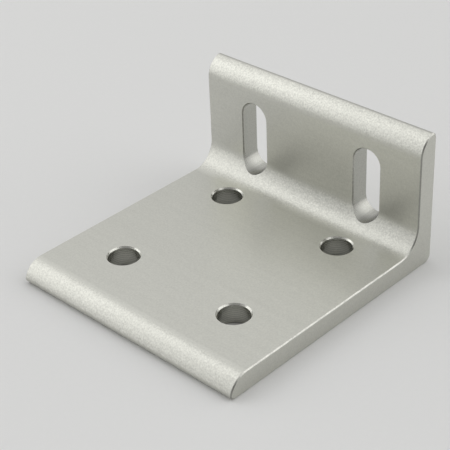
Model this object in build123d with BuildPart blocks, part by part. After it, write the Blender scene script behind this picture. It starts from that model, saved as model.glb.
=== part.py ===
"""Corner bracket for slotted 40 mm frame profiles, one piece of extruded aluminium.

Millimetres, +Z up. The origin is under the middle of the base: X runs along the bend, the open
end of the base is at -Y and the upright stands at +Y. The base rests on z = 0.
"""
import math
import os

from build123d import *

# The L-shaped bar that the bracket is cut from
width = 75.0
depth = 78.0
height = 39.0
thickness = 6.0
inner_fillet = 7.2
edge_radius = 1.5
heel_radius = 2.0
# Both ends of the bar are sawn, then their edges are broken
end_break = 0.3

# Round holes of the base, two by two on the pitch of the profiles' slots
slot_pitch = 40.0
hole_diameter = 8.5
back_row_inset = 18.0
hole_break = 0.4

# Long holes of the upright, in line with the columns of round holes
long_hole_width = 8.7
long_hole_travel = 13.0
long_hole_height = 19.25
mouth_break = 0.3
# The mouth's outline stops short of the long hole's lower end, so the break runs out there
mouth_lift = 0.4

# Sizes and places that follow from the ones above
front = -depth / 2
back = depth / 2
face = back - thickness
tip_round = thickness
blend_reach = math.sqrt((tip_round - edge_radius) ** 2 - edge_radius**2)
blend_angle = math.degrees(math.asin(edge_radius / (tip_round - edge_radius)))
nose_blend = front + edge_radius
nose_centre = nose_blend + blend_reach
crown_blend = height - edge_radius
crown_centre = crown_blend - blend_reach
row_centre = back - back_row_inset - slot_pitch / 2
mouth_width = long_hole_width + 2 * mouth_break

with BuildPart() as bracket:
    # Cross-section, from the nose along the underside and up the back. Both flanges end in the
    # same tip: a quarter round over the whole thickness, blended into the outer face.
    with BuildSketch(Plane.YZ):
        with BuildLine():
            Line((nose_blend, 0), (back - heel_radius, 0))
            CenterArc((back - heel_radius, heel_radius), heel_radius, 270, 90)
            Line((back, heel_radius), (back, crown_blend))
            CenterArc((back - edge_radius, crown_blend), edge_radius, 0, 90 + blend_angle)
            CenterArc((back, crown_centre), tip_round, 90 + blend_angle, 90 - blend_angle)
            Line((face, crown_centre), (face, thickness + inner_fillet))
            CenterArc((face - inner_fillet, thickness + inner_fillet), inner_fillet, 0, -90)
            Line((face - inner_fillet, thickness), (nose_centre, thickness))
            CenterArc((nose_centre, 0), tip_round, 90, 90 - blend_angle)
            CenterArc((nose_blend, edge_radius), edge_radius, 180 - blend_angle, 90 + blend_angle)
        make_face()
    extrude(amount=width / 2, both=True)

    # Broken edges round the two sawn ends
    for end in bracket.faces().filter_by(Axis.X):
        chamfer(end.edges(), length=end_break)

    # Round holes, with a 45 degree break at the top and underneath
    with Locations((0, row_centre, thickness)):
        with GridLocations(slot_pitch, slot_pitch, 2, 2):
            Hole(radius=hole_diameter / 2)
    rims = [rim for side in bracket.faces().filter_by(Axis.Z) for rim in side.inner_wires()]
    chamfer([edge for rim in rims for edge in rim.edges()], length=hole_break)

    # Mouths of the long holes: a 45 degree break that starts at the upright's face, and the same
    # outline straight out from there, which cuts into the inner fillet
    upright_face = Plane(origin=(0, face, long_hole_height), x_dir=(1, 0, 0), z_dir=(0, -1, 0))
    with BuildSketch(upright_face) as mouths:
        with Locations((0, mouth_lift / 2)):
            with GridLocations(slot_pitch, slot_pitch, 2, 1):
                SlotCenterToCenter(long_hole_travel - mouth_lift, mouth_width, rotation=90)
    extrude(mouths.sketch, amount=-mouth_break, taper=45, mode=Mode.SUBTRACT)
    extrude(mouths.sketch, amount=inner_fillet, mode=Mode.SUBTRACT)

    # The long holes, straight through the upright, and out through the fillet below their mouths
    with BuildSketch(upright_face) as long_holes:
        with GridLocations(slot_pitch, slot_pitch, 2, 1):
            SlotCenterToCenter(long_hole_travel, long_hole_width, rotation=90)
    extrude(long_holes.sketch, amount=-thickness, mode=Mode.SUBTRACT)
    extrude(long_holes.sketch, amount=inner_fillet, mode=Mode.SUBTRACT)

    # The same break where the long holes leave through the back
    exits = bracket.faces().sort_by(Axis.Y)[-1].inner_wires()
    chamfer([edge for rim in exits for edge in rim.edges()], length=mouth_break)

bracket.part.label = "bracket"

os.makedirs("parts", exist_ok=True)
export_step(bracket.part, "parts/bracket.step")
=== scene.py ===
"""Corner bracket for slotted frame profiles: its clear anodised finish and the studio it is shown in.

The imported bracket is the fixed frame, in metres with +Z up. It rests on z = 0, the open end of its
base is at -Y, the upright stands at +Y and the bend runs along X.
"""
import math

import bpy
from mathutils import Matrix, Vector


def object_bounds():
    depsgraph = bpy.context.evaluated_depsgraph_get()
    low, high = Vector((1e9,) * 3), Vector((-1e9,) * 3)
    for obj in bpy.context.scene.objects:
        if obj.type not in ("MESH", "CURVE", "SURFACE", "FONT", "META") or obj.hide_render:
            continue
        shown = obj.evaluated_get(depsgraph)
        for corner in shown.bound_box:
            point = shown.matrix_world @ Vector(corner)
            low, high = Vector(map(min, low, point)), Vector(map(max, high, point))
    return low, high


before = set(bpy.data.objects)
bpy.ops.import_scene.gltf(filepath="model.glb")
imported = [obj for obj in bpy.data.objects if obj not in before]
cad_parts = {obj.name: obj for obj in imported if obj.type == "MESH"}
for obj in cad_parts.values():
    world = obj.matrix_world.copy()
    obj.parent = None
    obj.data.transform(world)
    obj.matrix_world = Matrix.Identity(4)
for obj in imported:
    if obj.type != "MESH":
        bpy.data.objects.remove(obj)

bl_info = {
    "name": "Slotted Profile Corner Bracket",
    "version": (1, 0, 0),
    "blender": (4, 5, 0),
    "location": "View3D > Sidebar > Bracket",
    "description": "Finishes a one-piece corner bracket in anodised aluminium and sets up its studio",
    "category": "Object",
}

NODE = "bracket"
FINISH_SLOT = "anodised_aluminium"
MM = 0.001

cad_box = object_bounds()
highest = cad_box[1]

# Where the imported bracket's features are, in metres
wall_thickness = 6.0 * MM
bracket_height = 39.0 * MM
end_break = 0.3 * MM
column_x = 20.0 * MM
back_row_y = 21.0 * MM
front_row_y = -19.0 * MM
hole_radius = 4.25 * MM
hole_break = 0.4 * MM
long_hole_radius = 4.35 * MM
long_hole_middle = 19.25 * MM
long_hole_travel = 13.0 * MM
mouth_break = 0.3 * MM
broken_x = highest.x - end_break
hole_rim = hole_radius + hole_break
mouth_reach = long_hole_radius + mouth_break
long_hole_foot = long_hole_middle - long_hole_travel / 2 - long_hole_radius
long_hole_head = long_hole_middle + long_hole_travel / 2 + long_hole_radius
upright_face_y = highest.y - wall_thickness

# Spans over which a kind of face comes in: none of it at the first place and all at the second
sawn_span = (broken_x - 0.1 * MM, broken_x + 0.1 * MM)
end_break_span = (broken_x - 0.07 * MM, broken_x + 0.01 * MM)
drilled_span = (hole_radius + 0.3 * MM, hole_radius + 0.1 * MM)
countersink_span = (hole_rim + 0.2 * MM, hole_rim + 0.05 * MM)
milled_side_span = (mouth_reach + 0.25 * MM, mouth_reach + 0.05 * MM)
milled_depth_span = (upright_face_y - 5.9 * MM, upright_face_y - 5.7 * MM)
milled_foot_span = (long_hole_foot - 1.4 * MM, long_hole_foot - 1.3 * MM)
milled_head_span = (long_hole_head + 0.9 * MM, long_hole_head + 0.7 * MM)
top_round_span = (bracket_height - 7.5 * MM, bracket_height - 4.5 * MM)

# The same for how squarely a face looks along an axis, from 0, side on, to 1, square on
square_on = (0.95, 0.99)
side_on = (0.4, 0.2)
less_than_flat = (0.90, 0.80)
more_than_wall = (0.3, 0.5)
along_no_axis = (0.997, 0.955)

# Sizes of the noise in metres, and how far die lines are drawn out along the bar
cloud_size = 18.0 * MM
wander_size = 6.0 * MM
ragged_size = 2.2 * MM
die_line_size = 0.9 * MM
die_line_stretch = (0.01, 1.0, 1.0)
die_line_depth = 0.003 * MM
# How much the noise bends the tool marks, the slant of the saw's and how much finer the cutter's are
WANDER = 4.0
SAW_SLANT = 0.35
MILL_FINENESS = 1.2
# Shares of the grain's depth and sparkle that flat faces have, and what the top round adds
FLAT_GRAIN = 0.2
FLAT_SPARKLE = 0.38
TOP_ROUND_SPARKLE = 0.3

# Tone runs from 0 to 1 between these two shares of the metal's colour. Plain metal has almost
# exactly its own colour.
DARKEST = 0.62
LIGHTEST = 1.25
PLAIN_TONE = 0.60
# The range of tone that noise and marks cover
CLOUD_TONE = 0.05
DIE_LINE_TONE = 0.12
DRILL_RING_TONE = 0.5
MILL_RING_TONE = 0.04

# The tones from here to the end of this block were only picked so that the render matches the photo.
# Most of them paint shade or a highlight into the metal's colour, as said at each. How much of each
# is the surface, and how much was light or reflections there, isn't known.
SAWN_TONE = 0.06
# The drilled and milled walls are darker: partly the cut metal's own tone, partly painted shade in the
# holes
DRILLED_TONE_AND_SHADE = -0.24
MILLED_TONE_AND_SHADE = -0.34
# Painted highlight: the top round is lighter
TOP_ROUND_PAINTED_HIGHLIGHT = 0.10
# Painted shade: the upright's inner face and the upper part of the fillet get darker towards the foot.
# This fades out to the left and is weaker to the right, so it isn't symmetric, though the bracket is.
FOOT_PAINTED_SHADE = -0.35
FOOT_LOSS_RIGHT = 0.6
foot_facing = (0.5, 0.9)
foot_inner_span = (upright_face_y + 2.0 * MM, upright_face_y + 1.0 * MM)
foot_outer_span = (upright_face_y - 8.0 * MM, upright_face_y - 7.0 * MM)
foot_height_span = (bracket_height - 4.0 * MM, bracket_height - 20.0 * MM)
foot_left_span = (-34.0 * MM, 6.0 * MM)
foot_right_span = (10.0 * MM, 26.0 * MM)
# Painted shade: the long holes' lower walls near their mouths, and the sawn ends' breaks except where
# they face up or down, go towards this share of the metal's colour, the breaks not all the way
PAINTED_SHADE_SHARE = 0.45
painted_shade_wall_depth_span = (upright_face_y + 4.0 * MM, upright_face_y - 0.5 * MM)
painted_shade_wall_height_span = (13.5 * MM, 9.5 * MM)
painted_shade_break_facing = (0.62, 0.45)
BREAKS_PAINTED_SHADE_REACH = 0.85

# The range of roughness that slow noise covers, and what each kind of face adds to it
CLOUD_ROUGHNESS = 0.08
BORE_ROUGHNESS = -0.14
SAWN_ROUGHNESS = -0.04
COUNTERSINK_ROUGHNESS = -0.17

# The soft lamp: the direction it stands in, its distance and side in metres, and its brightness.
# The levels of the lamp and of the glows below started from a least squares fit of test renders to
# tones of the photo, and were then changed.
LAMP_WAY = (-0.57, -0.27, 0.77)
LAMP_DISTANCE = 0.85
LAMP_SIDE = 0.54
LAMP_BRIGHTNESS = 0.66
LAMP_AIM = Vector((0.0, 0.0, 10.0)) * MM
# Glows of the studio's walls and ceiling: direction, where the glow begins and its brightness.
# A glow begins where the cosine of the angle to its direction is the second number.
GLOWS = {
    "overhead": ((-0.555, 0.270, 0.787), 0.70, 0.62),
    "low_front": ((-0.593, -0.790, 0.150), 0.60, 0.46),
    "far_right": ((0.540, 0.600, 0.590), 0.60, 1.05),
    "low_left": ((-0.870, -0.400, 0.270), 0.82, 0.85),
}

# The floor lies a little under the bracket, so that their faces don't touch
FLOOR_DROP = 0.05 * MM
FIBRE_SIZE = 1.5 * MM
FIBRE_SHADE = 0.98


class Value:
    """A number in a node tree. Arithmetic on it adds the Math nodes that work it out."""

    def __init__(self, tree, socket):
        self.tree = tree
        self.socket = socket

    def _maths(self, operation, *operands):
        return self.tree.maths(operation, *operands)

    def __add__(self, other):
        return self._maths("ADD", self, other)

    __radd__ = __add__

    def __sub__(self, other):
        return self._maths("SUBTRACT", self, other)

    def __rsub__(self, other):
        return self._maths("SUBTRACT", other, self)

    def __mul__(self, other):
        return self._maths("MULTIPLY", self, other)

    __rmul__ = __mul__

    def __abs__(self):
        return self._maths("ABSOLUTE", self)

    def root(self):
        return self._maths("SQRT", self)

    def wave(self):
        """A wave from 0 to 1, one turn long for each full circle of the value."""
        return self._maths("SINE", self) * 0.5 + 0.5

    def centred(self):
        """A value from 0 to 1 moved to run from -0.5 to 0.5."""
        return self - 0.5

    def at_least(self, other):
        return self._maths("MAXIMUM", self, other)

    def at_most(self, other):
        return self._maths("MINIMUM", self, other)

    def rise(self, start, end):
        """0 below start, 1 above end and a smooth step between; the other way round if end < start."""
        settings = {"interpolation_type": "SMOOTHSTEP"}
        low, high, ends = (start, end, (0.0, 1.0)) if start < end else (end, start, (1.0, 0.0))
        sockets = {"Value": self, "From Min": low, "From Max": high, "To Min": ends[0], "To Max": ends[1]}
        return Value(self.tree, self.tree.node("ShaderNodeMapRange", settings, sockets).outputs["Result"])


class Tree:
    """The nodes of one material or of the world."""

    def __init__(self, owner):
        owner.use_nodes = True
        self.nodes = owner.node_tree.nodes
        self.links = owner.node_tree.links
        self.nodes.clear()

    def node(self, kind, settings=None, sockets=None):
        """Adds a node: first its settings, then the values or links of its sockets."""
        made = self.nodes.new(kind)
        for name, setting in (settings or {}).items():
            setattr(made, name, setting)
        for key, value in (sockets or {}).items():
            source = value.socket if isinstance(value, Value) else value
            if isinstance(source, bpy.types.NodeSocket):
                self.links.new(source, made.inputs[key])
            else:
                made.inputs[key].default_value = source
        return made

    def maths(self, operation, *operands):
        made = self.node("ShaderNodeMath", {"operation": operation}, dict(enumerate(operands)))
        return Value(self, made.outputs[0])

    def parts(self, vector):
        """The X, Y and Z of a vector, each as a Value."""
        made = self.node("ShaderNodeSeparateXYZ", sockets={0: vector})
        return [Value(self, output) for output in made.outputs]

    def sizes(self, vector):
        """The X, Y and Z of a vector without their signs."""
        return [abs(part) for part in self.parts(vector)]

    def stretched(self, vector, scale):
        """A vector times another, axis by axis."""
        sockets = {0: vector, 1: scale}
        return self.node("ShaderNodeVectorMath", {"operation": "MULTIPLY"}, sockets).outputs[0]

    def noise(self, vector, size, detail=2.0, roughness=0.5):
        """Smooth noise from 0 to 1, with features of about the given size in metres."""
        sockets = {"Vector": vector, "Scale": 1.0 / size, "Detail": detail, "Roughness": roughness}
        return Value(self, self.node("ShaderNodeTexNoise", sockets=sockets).outputs[0])

    def blend(self, factor, first, second):
        """A colour between two others."""
        # A Mix node has several sockets of each name, so the ones for colours go by number
        made = self.node("ShaderNodeMix", {"data_type": "RGBA"}, {0: factor, 6: first, 7: second})
        return made.outputs[2]


def opaque(colour, share=1.0):
    """A colour with its alpha, darker or lighter by a share of itself."""
    return (*(min(1.0, channel * share) for channel in colour), 1.0)


class BracketFinish(bpy.types.PropertyGroup):
    """What a user may change on the bracket's surface."""

    metal: bpy.props.FloatVectorProperty(
        name="Metal", description="Colour of the clear anodised aluminium", subtype="COLOR",
        size=3, min=0.0, max=1.0, default=(0.62, 0.62, 0.57),
    )
    roughness: bpy.props.FloatProperty(
        name="Roughness", description="How matt the etched faces are", subtype="FACTOR",
        min=0.0, max=1.0, default=0.38,
    )
    grain_size: bpy.props.FloatProperty(
        name="Grain Size", description="Width of the grains that etching leaves", unit="LENGTH",
        min=0.00005, max=0.005, default=0.00045,
    )
    grain_depth: bpy.props.FloatProperty(
        name="Grain Depth", description="Depth of the etched grain", unit="LENGTH",
        min=0.0, max=0.0005, default=0.00005,
    )
    sparkle: bpy.props.FloatProperty(
        name="Sparkle", description="How strongly the grain's tone varies on the rounds",
        min=0.0, max=5.0, default=0.9,
    )
    tool_pitch: bpy.props.FloatProperty(
        name="Tool Pitch", description="Distance between the marks of the saw and the cutters",
        unit="LENGTH", min=0.0001, max=0.005, default=0.0006,
    )
    tool_depth: bpy.props.FloatProperty(
        name="Tool Depth", description="Depth of the marks of the saw and the cutters", unit="LENGTH",
        min=0.0, max=0.0005, default=0.000008,
    )


class BracketStudio(bpy.types.PropertyGroup):
    """The floor, the light and the camera."""

    floor: bpy.props.FloatVectorProperty(
        name="Floor", description="Colour of the floor", subtype="COLOR",
        size=3, min=0.0, max=1.0, default=(0.80, 0.80, 0.79),
    )
    floor_size: bpy.props.FloatProperty(
        name="Floor Size", description="Length of the floor's side", unit="LENGTH",
        min=0.5, max=50.0, default=8.0,
    )
    light: bpy.props.FloatProperty(
        name="Light", description="Level of the soft lamp", min=0.0, max=10.0, default=1.0,
    )
    walls: bpy.props.FloatProperty(
        name="Walls", description="Brightness of the studio's walls where nothing glows",
        min=0.0, max=2.0, default=0.34,
    )
    glow: bpy.props.FloatProperty(
        name="Glow", description="Strength of the glows on the studio's walls and ceiling",
        min=0.0, max=2.0, default=1.0,
    )
    lens: bpy.props.FloatProperty(
        name="Lens", description="Focal length in millimetres", min=10.0, max=500.0, default=107.9,
    )


class Surface:
    """The bracket's surface in Values: place and direction, kinds of face, marks and noise.

    A kind of face is 1 on that kind and 0 elsewhere. Marks and noise run from 0 to 1.
    """

    def __init__(self, tree, finish):
        self.tree = tree
        self.place = tree.node("ShaderNodeTexCoord").outputs["Object"]
        self.x, self.y, self.z = tree.parts(self.place)
        self.across = abs(self.x) - column_x
        directions = tree.node("ShaderNodeNewGeometry").outputs
        self.facing_x, self.facing_y, self.facing_z = tree.sizes(directions["True Normal"])
        smooth_x, smooth_y, smooth_z = tree.sizes(directions["Normal"])
        self.facing_one_way = smooth_x.at_least(smooth_y).at_least(smooth_z)
        self.find_faces()
        self.add_marks(finish)

    def from_hole(self):
        """Distance from the axis of the nearest round hole, in metres."""
        across = self.across * self.across
        to_back_row = self.y - back_row_y
        to_front_row = self.y - front_row_y
        from_back_hole = (across + to_back_row * to_back_row).root()
        from_front_hole = (across + to_front_row * to_front_row).root()
        return from_back_hole.at_most(from_front_hole)

    def find_faces(self):
        """Tells the kinds of face apart by place and direction."""
        # Sawn ends face along X; hole walls face away from their own axis
        from_hole = self.from_hole()
        self.sawn = self.facing_x.rise(*square_on) * abs(self.x).rise(*sawn_span)
        self.drilled = from_hole.rise(*drilled_span) * self.facing_z.rise(*side_on)
        in_long_hole = self.y.rise(*milled_depth_span) * abs(self.across).rise(*milled_side_span)
        in_long_hole = in_long_hole * self.z.rise(*milled_foot_span) * self.z.rise(*milled_head_span)
        self.milled = in_long_hole * self.facing_y.rise(*side_on)
        sloped = self.facing_z.rise(*less_than_flat) * self.facing_z.rise(*more_than_wall)
        self.countersunk = from_hole.rise(*countersink_span) * sloped
        self.end_broken = abs(self.x).rise(*end_break_span) * (1 - self.sawn)
        self.bore = self.drilled.at_least(self.milled)
        self.etched = 1 - self.sawn.at_least(self.bore)
        # Rounds and fillet are where the surface faces along no axis, and the top round is one of them
        self.rounded = self.facing_one_way.rise(*along_no_axis) * self.etched
        self.top_round = self.z.rise(*top_round_span) * self.rounded

    def add_marks(self, finish):
        """Etched grain, die lines along the bar, slow noise and the marks of the saw and cutters."""
        self.grain = self.tree.noise(self.place, finish.grain_size, detail=1.5, roughness=0.6)
        self.glitter = self.tree.noise(self.place, finish.grain_size, detail=1.0)
        self.ragged = self.tree.noise(self.place, ragged_size, detail=2.0)
        self.cloud = self.tree.noise(self.place, cloud_size, detail=3.0)
        drawn_out = self.tree.stretched(self.place, die_line_stretch)
        self.die_lines = self.tree.noise(drawn_out, die_line_size, detail=2.0)
        turn = 2.0 * math.pi / finish.tool_pitch
        wander = self.tree.noise(self.place, wander_size) * WANDER
        self.saw_marks = ((self.y + self.z * SAW_SLANT) * turn + wander).wave()
        self.drill_marks = (self.z * turn + wander).wave()
        self.mill_marks = ((self.z + self.x) * turn * MILL_FINENESS + wander).wave()

    def foot(self):
        """Painted shade: 1 at the foot of the upright's inner face, less higher up and towards both ends.
        """
        inner_face = self.facing_y.rise(*foot_facing) * self.y.rise(*foot_inner_span)
        inner_face = inner_face * self.y.rise(*foot_outer_span)
        foot = inner_face * self.z.rise(*foot_height_span) * self.x.rise(*foot_left_span)
        return foot * (1 - self.x.rise(*foot_right_span) * FOOT_LOSS_RIGHT)

    def painted_shade(self):
        """1 where shade is painted darkest: low on the long holes' walls and on the ends' breaks."""
        walls = self.milled * self.y.rise(*painted_shade_wall_depth_span) * self.z.rise(*painted_shade_wall_height_span)
        breaks = self.end_broken * self.facing_z.rise(*painted_shade_break_facing)
        return (breaks * BREAKS_PAINTED_SHADE_REACH).at_least(walls)


def relief(surface, finish):
    """Height of the grain, the die lines and the tool marks, in metres."""
    grain = surface.grain * (surface.rounded * (1 - FLAT_GRAIN) + FLAT_GRAIN)
    cuts = surface.saw_marks * surface.sawn + surface.drill_marks * surface.drilled
    cuts = cuts + surface.mill_marks * surface.milled
    die_lines = surface.die_lines * surface.etched
    return grain * finish.grain_depth + die_lines * die_line_depth + cuts * finish.tool_depth


def metal_colour(surface, finish):
    """The metal's colour: a tone for each kind of face, varied by noise, sparkle and tool marks, with
    painted shade and a painted highlight.
    """
    glint = surface.rounded * (1 - FLAT_SPARKLE) + surface.top_round * TOP_ROUND_SPARKLE + FLAT_SPARKLE
    shade = surface.cloud.centred() * CLOUD_TONE
    shade = shade + surface.glitter.centred() * glint * finish.sparkle
    shade = shade + surface.drill_marks.centred() * surface.drilled * DRILL_RING_TONE
    shade = shade + surface.mill_marks.centred() * surface.milled * MILL_RING_TONE
    shade = shade + surface.ragged.centred() * surface.end_broken
    shade = shade + surface.die_lines.centred() * surface.etched * DIE_LINE_TONE
    # Painted highlight on the top round and painted shade at the upright's foot
    shade = shade + surface.top_round * TOP_ROUND_PAINTED_HIGHLIGHT + surface.foot() * FOOT_PAINTED_SHADE
    shade = shade + surface.sawn * SAWN_TONE
    # Partly painted shade in the drilled and milled walls
    shade = shade + surface.drilled * DRILLED_TONE_AND_SHADE + surface.milled * MILLED_TONE_AND_SHADE
    darkest = opaque(finish.metal, DARKEST)
    lightest = opaque(finish.metal, LIGHTEST)
    colour = surface.tree.blend(shade + PLAIN_TONE, darkest, lightest)
    # Painted shade low on the long holes' walls and on the ends' breaks
    return surface.tree.blend(surface.painted_shade(), colour, opaque(finish.metal, PAINTED_SHADE_SHARE))


def metal_roughness(surface, finish):
    """Cut faces are smoother than etched ones, and slow noise varies them all."""
    roughness = surface.cloud.centred() * CLOUD_ROUGHNESS + finish.roughness
    roughness = roughness + surface.bore * BORE_ROUGHNESS + surface.sawn * SAWN_ROUGHNESS
    return roughness + surface.countersunk * COUNTERSINK_ROUGHNESS


def anodised_aluminium(finish):
    """Etched and clear anodised aluminium, with sawn ends and cut hole walls told apart by place."""
    material = bpy.data.materials.new(FINISH_SLOT)
    tree = Tree(material)
    surface = Surface(tree, finish)
    height = relief(surface, finish)
    bump = tree.node("ShaderNodeBump", sockets={"Strength": 1.0, "Distance": 1.0, "Height": height})
    metal = tree.node("ShaderNodeBsdfPrincipled", sockets={
        "Base Color": metal_colour(surface, finish),
        "Metallic": 1.0,
        "Roughness": metal_roughness(surface, finish),
        "Normal": bump.outputs["Normal"],
    })
    tree.node("ShaderNodeOutputMaterial", sockets={"Surface": metal.outputs["BSDF"]})
    return material


class BRACKET_OT_finish(bpy.types.Operator):
    """Give the bracket its etched, sawn, drilled and milled aluminium surface"""

    bl_idname = "bracket.finish"
    bl_label = "Finish Bracket"

    def execute(self, context):
        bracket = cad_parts[NODE]
        material = anodised_aluminium(context.scene.bracket_finish)
        if not bracket.material_slots:
            raise RuntimeError("the packed bracket has no material slot")
        for place in bracket.material_slots:
            place.material = material
        return {"FINISHED"}


def floor_paper(studio):
    """Matt paper with a faint mottle of fibres."""
    material = bpy.data.materials.new("floor_paper")
    tree = Tree(material)
    place = tree.node("ShaderNodeTexCoord").outputs["Object"]
    fibre = tree.noise(place, FIBRE_SIZE, detail=3.0)
    colour = tree.blend(fibre, opaque(studio.floor, FIBRE_SHADE), opaque(studio.floor))
    paper = tree.node("ShaderNodeBsdfPrincipled", sockets={"Base Color": colour, "Roughness": 0.9})
    tree.node("ShaderNodeOutputMaterial", sockets={"Surface": paper.outputs["BSDF"]})
    return material


def make_floor(studio):
    """A square floor of paper, with its middle under the bracket."""
    half = studio.floor_size / 2
    outline = ((-half, -half), (half, -half), (half, half), (-half, half))
    mesh = bpy.data.meshes.new("floor")
    mesh.from_pydata([(x, y, -FLOOR_DROP) for x, y in outline], [], [(0, 1, 2, 3)])
    mesh.materials.append(floor_paper(studio))
    floor = bpy.data.objects.new("floor", mesh)
    bpy.context.scene.collection.objects.link(floor)


def make_lamp(studio):
    """The square soft lamp, which shines at the bracket from its own direction."""
    lamp = bpy.data.lights.new("key", "AREA")
    lamp.shape = "SQUARE"
    lamp.size = LAMP_SIDE
    lamp.energy = LAMP_BRIGHTNESS * studio.light * math.pi * LAMP_SIDE**2
    made = bpy.data.objects.new("key", lamp)
    towards = Vector(LAMP_WAY).normalized()
    made.location = LAMP_AIM + towards * LAMP_DISTANCE
    made.rotation_euler = towards.to_track_quat("Z", "Y").to_euler()
    made.visible_camera = False
    bpy.context.scene.collection.objects.link(made)


def make_surround(studio):
    """Studio walls and ceiling, with soft glows instead of windows and panels."""
    world = bpy.data.worlds.new("surround")
    tree = Tree(world)
    east, north, up = tree.parts(tree.node("ShaderNodeTexCoord").outputs["Generated"])
    strength = studio.walls
    for way, begins, brightness in GLOWS.values():
        towards = Vector(way).normalized()
        cosine = east * towards.x + north * towards.y + up * towards.z
        strength = cosine.rise(begins, 1.0) * (brightness * studio.glow) + strength
    white = opaque((1.0, 1.0, 1.0))
    light = tree.node("ShaderNodeBackground", sockets={"Color": white, "Strength": strength})
    tree.node("ShaderNodeOutputWorld", sockets={"Surface": light.outputs[0]})
    bpy.context.scene.world = world


def make_camera(studio):
    """The photograph's view, from a fit of one simple camera to the photo with the sizes as built."""
    bearing = math.radians(44.69)
    rise = math.radians(32.47)
    roll = math.radians(-2.46)
    aim = Vector((0.0, -1.0, 15.0)) * MM
    distance = 351.9 * MM
    right_shift = 0.27 * MM
    up_shift = 0.08 * MM
    back = Vector((
        math.sin(bearing) * math.cos(rise), -math.cos(bearing) * math.cos(rise), math.sin(rise),
    ))
    level = Vector((math.cos(bearing), math.sin(bearing), 0.0))
    upward = back.cross(level)
    right = level * math.cos(roll) + upward * math.sin(roll)
    top = upward * math.cos(roll) - level * math.sin(roll)
    eye = aim + back * distance + right * right_shift + top * up_shift
    lens = bpy.data.cameras.new("camera")
    lens.lens = studio.lens
    lens.sensor_width = 36.0
    lens.clip_start = 0.01
    lens.clip_end = 50.0
    camera = bpy.data.objects.new("camera", lens)
    camera.matrix_world = Matrix.Translation(eye) @ Matrix((right, top, back)).transposed().to_4x4()
    bpy.context.scene.collection.objects.link(camera)
    bpy.context.scene.camera = camera


class BRACKET_OT_studio(bpy.types.Operator):
    """Lay the pale floor, hang the soft lamp, light the walls and stand the camera in its place"""

    bl_idname = "bracket.studio"
    bl_label = "Set Up Studio"

    def execute(self, context):
        studio = context.scene.bracket_studio
        make_floor(studio)
        make_lamp(studio)
        make_surround(studio)
        context.scene.view_settings.view_transform = "Standard"
        make_camera(studio)
        return {"FINISHED"}


class BRACKET_PT_sidebar(bpy.types.Panel):
    """The bracket's settings and steps"""

    bl_idname = "BRACKET_PT_sidebar"
    bl_label = "Corner Bracket"
    bl_space_type = "VIEW_3D"
    bl_region_type = "UI"
    bl_category = "Bracket"

    def draw(self, context):
        for settings, step in ((context.scene.bracket_finish, "bracket.finish"),
                               (context.scene.bracket_studio, "bracket.studio")):
            column = self.layout.column(align=True)
            for name in settings.__annotations__:
                column.prop(settings, name)
            column.operator(step)


CLASSES = (BracketFinish, BracketStudio, BRACKET_OT_finish, BRACKET_OT_studio, BRACKET_PT_sidebar)


def register():
    for item in CLASSES:
        bpy.utils.register_class(item)
    bpy.types.Scene.bracket_finish = bpy.props.PointerProperty(type=BracketFinish)
    bpy.types.Scene.bracket_studio = bpy.props.PointerProperty(type=BracketStudio)


def unregister():
    del bpy.types.Scene.bracket_studio
    del bpy.types.Scene.bracket_finish
    for item in reversed(CLASSES):
        bpy.utils.unregister_class(item)


def main():
    register()
    bpy.ops.bracket.finish()
    bpy.ops.bracket.studio()


if __name__ == "__main__":
    main()
